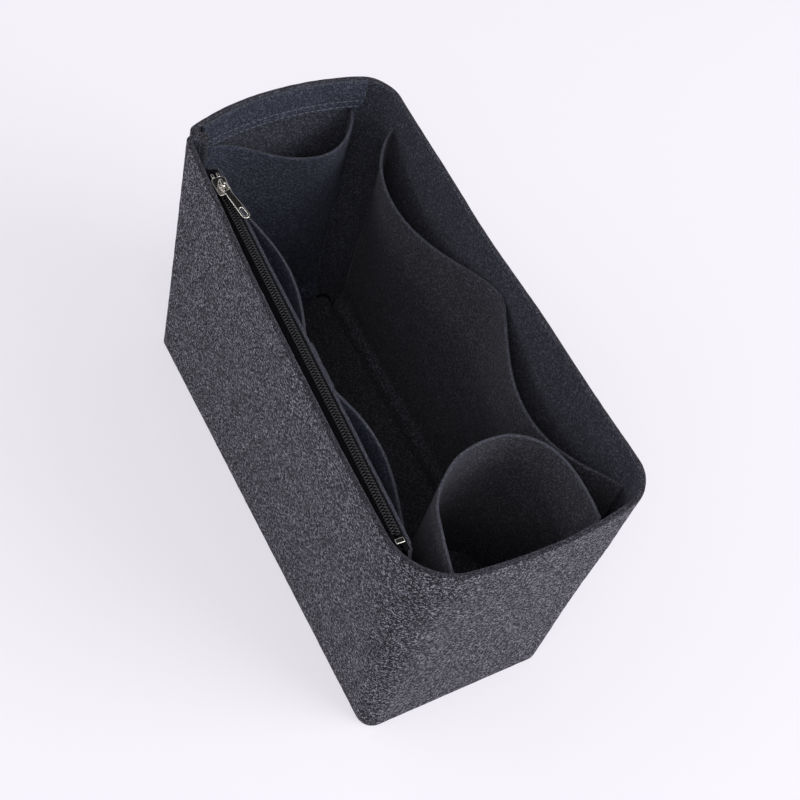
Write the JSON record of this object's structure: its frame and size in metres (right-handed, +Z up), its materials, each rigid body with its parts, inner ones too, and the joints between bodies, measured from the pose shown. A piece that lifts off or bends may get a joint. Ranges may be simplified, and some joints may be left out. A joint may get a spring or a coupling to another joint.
{
  "type": "purse organizer insert",
  "caption": "Open-topped felt organizer insert for a handbag, with a zip pocket, open slip pockets along its walls and a bottle loop at one end.",
  "frame": {"origin": "middle of the part's box in plan, on the floor that the base panel and the wall's lower edge stand on", "axes": "+X along the length towards the end with the bottle loop, +Y from the zip wall to the back wall, +Z up out of the open top"},
  "size_m": [0.2496, 0.115, 0.165],
  "materials": {
    "outer_felt": "charcoal heather polyester felt, 2.5 mm",
    "inner_felt": "charcoal heather polyester felt, 1.5 mm",
    "zip_tape": "black woven polyester zip tape",
    "zip_coil": "black nylon coil, satin",
    "zip_metal": "nickel-plated zinc and wire, polished",
    "thread": "dark polyester sewing thread"
  },
  "bodies": {
    "organizer": {"outer_wall": "outer_felt", "base_panel": "outer_felt", "end_facing": "inner_felt", "zip_pocket_panel": "inner_felt", "front_slip_pocket": "inner_felt", "back_slip_pocket": "inner_felt", "end_slip_pocket": "inner_felt", "bottle_loop": "inner_felt", "zip_tape_wall_side": "zip_tape", "zip_tape_pocket_side": "zip_tape", "zip_coil_wall_side": "zip_coil", "zip_coil_pocket_side": "zip_coil", "zip_top_stop_wall_side": "zip_metal", "zip_top_stop_pocket_side": "zip_metal", "zip_bottom_stop": "zip_metal", "facing_stitch_upper": "thread", "facing_stitch_lower": "thread", "front_pocket_stitch_far": "thread", "front_pocket_stitch_middle": "thread", "front_pocket_stitch_near": "thread", "back_pocket_stitch_near": "thread", "back_pocket_stitch_middle": "thread", "back_pocket_stitch_far": "thread", "end_pocket_stitch_back": "thread", "end_pocket_stitch_front": "thread", "zip_panel_stitch_far": "thread", "zip_panel_stitch_near": "thread", "zip_stitch_wall_side": "thread", "zip_stitch_pocket_side": "thread", "loop_stitch_front": "thread", "loop_stitch_back": "thread", "base_seam_stitch": "thread", "corner_seam_stitch": "thread"},
    "slider": {"zip_slider": "zip_metal"},
    "pull_tab": {"zip_pull_tab": "zip_metal"}
  },
  "joints": [
    {"name": "zip_slide", "type": "slide", "parent": "organizer", "child": "slider", "axis": [0.9993, -0.0363, 0], "range_m": [0, 0.1735]},
    {"name": "pull_tab_swing", "type": "hinge", "parent": "slider", "child": "pull_tab", "pos_m": [-0.08492, -0.04327, 0.162], "axis": [0.1722, -0.9851, 0], "range_deg": [0, 150]}
  ]
}
